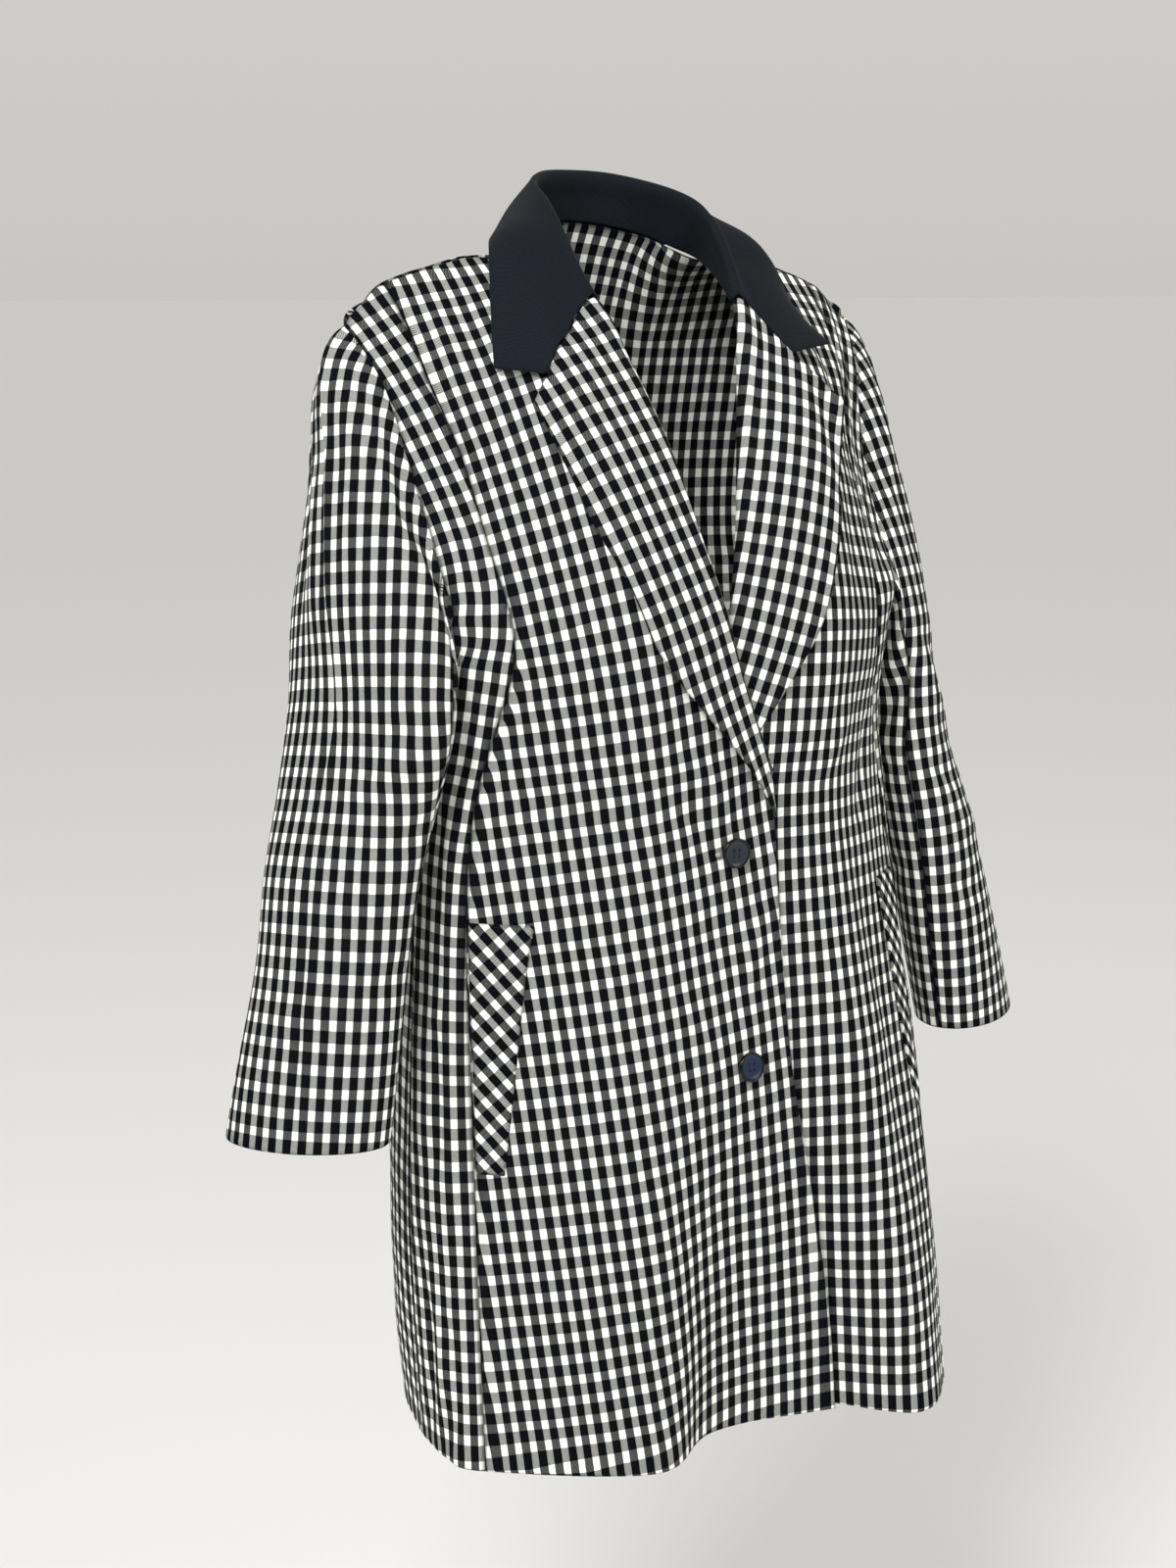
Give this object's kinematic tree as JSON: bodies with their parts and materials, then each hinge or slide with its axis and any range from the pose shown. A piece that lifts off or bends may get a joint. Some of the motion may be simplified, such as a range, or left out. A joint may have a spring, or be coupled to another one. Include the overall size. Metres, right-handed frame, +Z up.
{
  "type": "checked coat",
  "caption": "Thigh-length checked coat with a plain dark collar, notched lapels, two-piece sleeves and bias pocket welts, buttoned at the front and held in its worn, hollow shape.",
  "frame": {"origin": "on the neck's axis, level with the high points of the two shoulder seams, where the wearer holds the coat up", "axes": "+Z up, the front faces -Y, the wearer's right side is at -X"},
  "size_m": [0.6948, 0.33, 0.9296],
  "materials": {
    "check_cloth": "twill-woven black and white gingham",
    "collar_cloth": "dark fine twill",
    "button": "glossy"
  },
  "bodies": {
    "root": {"front_right": "check_cloth", "side_front_right": "check_cloth", "front_left": "check_cloth", "side_front_left": "check_cloth", "back": "check_cloth", "top_sleeve_right": "check_cloth", "top_sleeve_left": "check_cloth", "under_sleeve_right": "check_cloth", "under_sleeve_left": "check_cloth", "lapel_right": "check_cloth", "lapel_left": "check_cloth", "pocket_welt_right": "check_cloth", "pocket_welt_left": "check_cloth", "collar": "collar_cloth", "button_upper": "button", "button_lower": "button"}
  },
  "joints": []
}
